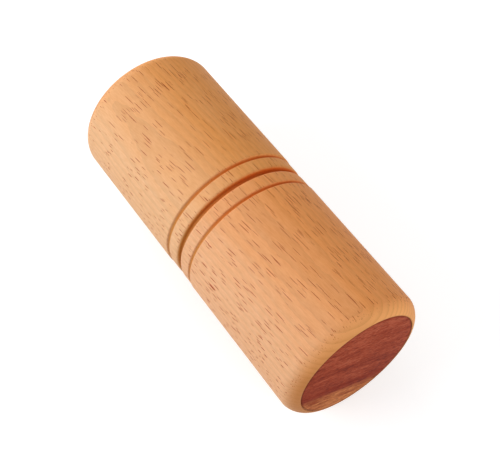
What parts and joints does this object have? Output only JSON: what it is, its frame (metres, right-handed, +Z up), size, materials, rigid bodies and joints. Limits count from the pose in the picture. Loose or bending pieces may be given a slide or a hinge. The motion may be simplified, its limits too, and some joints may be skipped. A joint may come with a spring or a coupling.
{
  "type": "double shaker",
  "caption": "Turned wooden hand shaker of a deep and a bright half that plug together, each a cup of loose grains closed by a hardwood end disc.",
  "frame": {"origin": "the point on the table under the middle of the shaker, where its two halves meet", "axes": "+X along the shaker towards the end of its deep half, +Z up from the table that it lies on"},
  "size_m": [0.135, 0.055, 0.055],
  "materials": {
    "beech": "satin",
    "red_hardwood": "satin",
    "magnet": "polished",
    "coarse_grain": "gloss",
    "ring_rubber": "matte",
    "fine_grain": "satin"
  },
  "bodies": {
    "deep_half": {"deep_shell": "beech", "deep_end_disc": "red_hardwood", "deep_magnet": "magnet"},
    "ring": {"joint_ring": "ring_rubber"},
    "bright_half": {"bright_shell": "beech", "bright_end_disc": "red_hardwood", "bright_magnet": "magnet"},
    "deep_grains": {"deep_filling": "coarse_grain"},
    "bright_grains": {"bright_filling": "fine_grain"}
  },
  "joints": [
    {"name": "halves_twist", "type": "hinge", "parent": "deep_half", "child": "ring", "pos_m": [0, 0, 0.0275], "axis": [1, 0, 0], "continuous": true},
    {"name": "halves_pull_apart", "type": "slide", "parent": "ring", "child": "bright_half", "axis": [-1, 0, 0], "range_m": [0, 0.05]},
    {"name": "deep_grains_shake", "type": "slide", "parent": "deep_half", "child": "deep_grains", "axis": [1, 0, 0], "range_m": [-0.0145, 0.0145]},
    {"name": "bright_grains_shake", "type": "slide", "parent": "bright_half", "child": "bright_grains", "axis": [1, 0, 0], "range_m": [-0.0115, 0.0115]}
  ]
}
